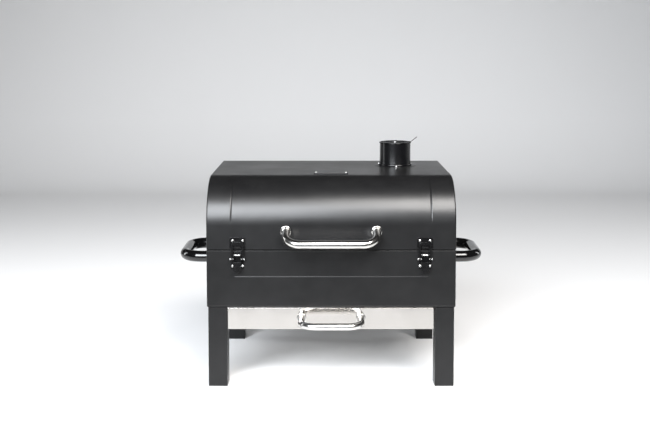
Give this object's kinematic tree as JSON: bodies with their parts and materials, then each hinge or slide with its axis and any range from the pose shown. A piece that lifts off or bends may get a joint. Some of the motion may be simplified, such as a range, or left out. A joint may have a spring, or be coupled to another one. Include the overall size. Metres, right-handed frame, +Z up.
{
  "type": "pellet smoker grill",
  "caption": "Tabletop smoker grill: black sheet-steel firebox on square legs, rear-hinged curved lid with chimney and damper, draw latches, bright handles and a stainless pull-out ash drawer.",
  "frame": {"origin": "on the ground, under the centre of the whole object's box", "axes": "+Z up, the front with the lid handle and drawer faces -Y, +X to the right seen from the front"},
  "size_m": [0.774, 0.5254, 0.5798],
  "materials": {
    "lid_black": "satin heat-proof black paint",
    "body_black": "satin black powder coat",
    "gloss_black": "gloss black",
    "mirror_steel": "polished stainless steel",
    "plain_steel": "mill-finish stainless sheet",
    "zinc": "bright zinc plate",
    "bright_wire": "plated wire",
    "foot_black": "moulded",
    "collar_grey": "turned, satin",
    "badge_dark": "dark anodised, blank"
  },
  "bodies": {
    "firebox": {"firebox_wrap": "body_black", "firebox_end_left": "body_black", "firebox_end_right": "body_black", "firebox_rim": "body_black", "grate_ledges": "body_black", "leg_front_left": "body_black", "leg_front_right": "body_black", "leg_rear_left": "body_black", "leg_rear_right": "body_black", "leg_caps": "foot_black", "leg_bolts": "zinc", "drawer_rail_left": "body_black", "drawer_rail_right": "body_black", "rail_screws": "zinc", "side_handle_left": "gloss_black", "side_handle_right": "gloss_black", "side_handle_collars": "collar_grey", "side_handle_screws": "zinc", "latch_base_left": "gloss_black", "latch_base_right": "gloss_black", "firebox_rivets": "zinc", "latch_pins": "zinc", "hinge_lower_leaf_left": "body_black", "hinge_lower_leaf_right": "body_black", "hinge_pins": "zinc", "fire_tray": "plain_steel", "heat_shield": "plain_steel"},
    "lid": {"lid_skin": "lid_black", "lid_end_left": "lid_black", "lid_end_right": "lid_black", "lid_handle": "mirror_steel", "lid_handle_flanges": "mirror_steel", "lid_handle_screws": "zinc", "name_plate": "badge_dark", "name_plate_rivets": "zinc", "chimney_pipe": "lid_black", "chimney_base_ring": "lid_black", "chimney_screws": "zinc", "damper_plate": "body_black", "damper_rivet": "zinc", "latch_keeper_left": "gloss_black", "latch_keeper_right": "gloss_black", "lid_rivets": "zinc", "hinge_upper_leaf_left": "body_black", "hinge_upper_leaf_right": "body_black"},
    "damper": {"damper_disc": "body_black"},
    "drawer": {"drawer_front": "mirror_steel", "drawer_tray": "plain_steel", "drawer_handle": "mirror_steel", "drawer_handle_flanges": "mirror_steel", "drawer_handle_screws": "zinc"},
    "lever_left": {"latch_lever_left": "gloss_black", "latch_loop_pins_left": "zinc"},
    "lever_right": {"latch_lever_right": "gloss_black", "latch_loop_pins_right": "zinc"},
    "loop_left": {"latch_loop_left": "gloss_black"},
    "loop_right": {"latch_loop_right": "gloss_black"},
    "grate_left": {"cooking_grate_left": "bright_wire"},
    "grate_right": {"cooking_grate_right": "bright_wire"}
  },
  "joints": [
    {"name": "lid_hinge", "type": "hinge", "parent": "firebox", "child": "lid", "pos_m": [0, 0.25775, 0.3345], "axis": [-1, 0, 0], "range_deg": [0, 100]},
    {"name": "drawer_slide", "type": "slide", "parent": "firebox", "child": "drawer", "axis": [0, -1, 0], "range_m": [0, 0.27]},
    {"name": "damper_turn", "type": "hinge", "parent": "lid", "child": "damper", "pos_m": [0.173, 0.11825, 0.565], "axis": [0, 0, 1], "range_deg": [0, 45]},
    {"name": "latch_lever_left", "type": "hinge", "parent": "firebox", "child": "lever_left", "pos_m": [-0.225, -0.19725, 0.3245], "axis": [-1, 0, 0], "range_deg": [0, 150]},
    {"name": "latch_loop_left", "type": "hinge", "parent": "lever_left", "child": "loop_left", "pos_m": [-0.225, -0.19575, 0.3145], "axis": [-1, 0, 0], "range_deg": [-165.1, 0]},
    {"name": "latch_lever_right", "type": "hinge", "parent": "firebox", "child": "lever_right", "pos_m": [0.225, -0.19725, 0.3245], "axis": [-1, 0, 0], "range_deg": [0, 150]},
    {"name": "latch_loop_right", "type": "hinge", "parent": "lever_right", "child": "loop_right", "pos_m": [0.225, -0.19575, 0.3145], "axis": [-1, 0, 0], "range_deg": [-165.1, 0]},
    {"name": "grate_lift_left", "type": "slide", "parent": "firebox", "child": "grate_left", "axis": [0, 0, 1], "range_m": [0, 0.04]},
    {"name": "grate_lift_right", "type": "slide", "parent": "firebox", "child": "grate_right", "axis": [0, 0, 1], "range_m": [0, 0.04]}
  ],
  "couplings": [
    {"joint": "latch_loop_left", "follows": "latch_lever_left", "ratio": -1.1},
    {"joint": "latch_loop_right", "follows": "latch_lever_right", "ratio": -1.1}
  ]
}
